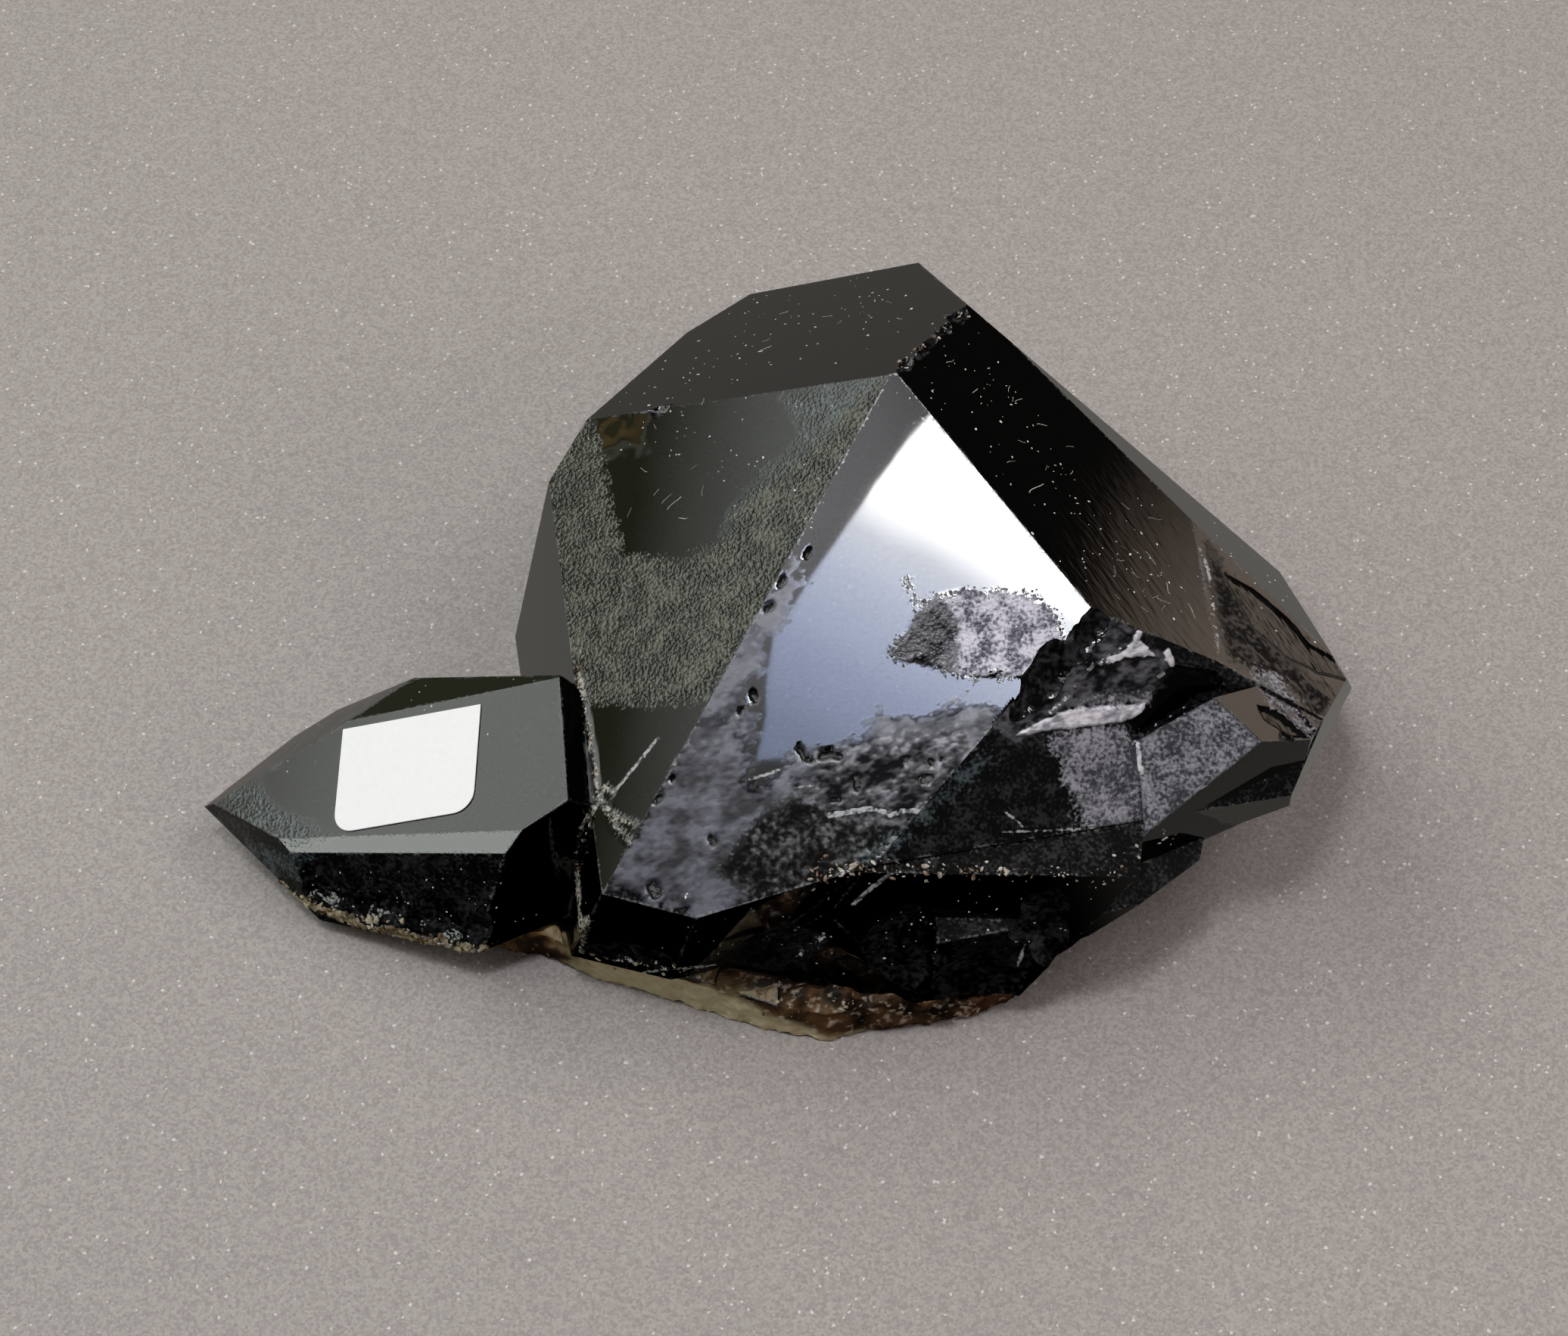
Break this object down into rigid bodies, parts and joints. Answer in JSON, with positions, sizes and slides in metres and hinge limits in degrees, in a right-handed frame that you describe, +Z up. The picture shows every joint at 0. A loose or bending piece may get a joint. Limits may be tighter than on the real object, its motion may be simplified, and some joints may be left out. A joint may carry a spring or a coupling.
{
  "type": "smoky quartz crystal cluster",
  "caption": "Cluster of intergrown black smoky quartz crystals with flat mirror-like faces on a thin tan feldspar crust, with a blank paper label.",
  "frame": {"origin": "middle of the footprint, on the table that the cluster rests on", "axes": "+X along the longest extent, from the tip of the labelled side crystal towards the broken right end; +Y from the label side towards the back; +Z up"},
  "size_m": [0.0962, 0.0696, 0.0355],
  "materials": {
    "smoky_black_quartz": "glassy, nearly black, with frosted and etched patches",
    "tan_feldspar": null,
    "white_paper": null
  },
  "bodies": {
    "root": {"morion_quartz": "smoky_black_quartz", "feldspar_matrix": "tan_feldspar", "paper_label": "white_paper"}
  },
  "joints": []
}
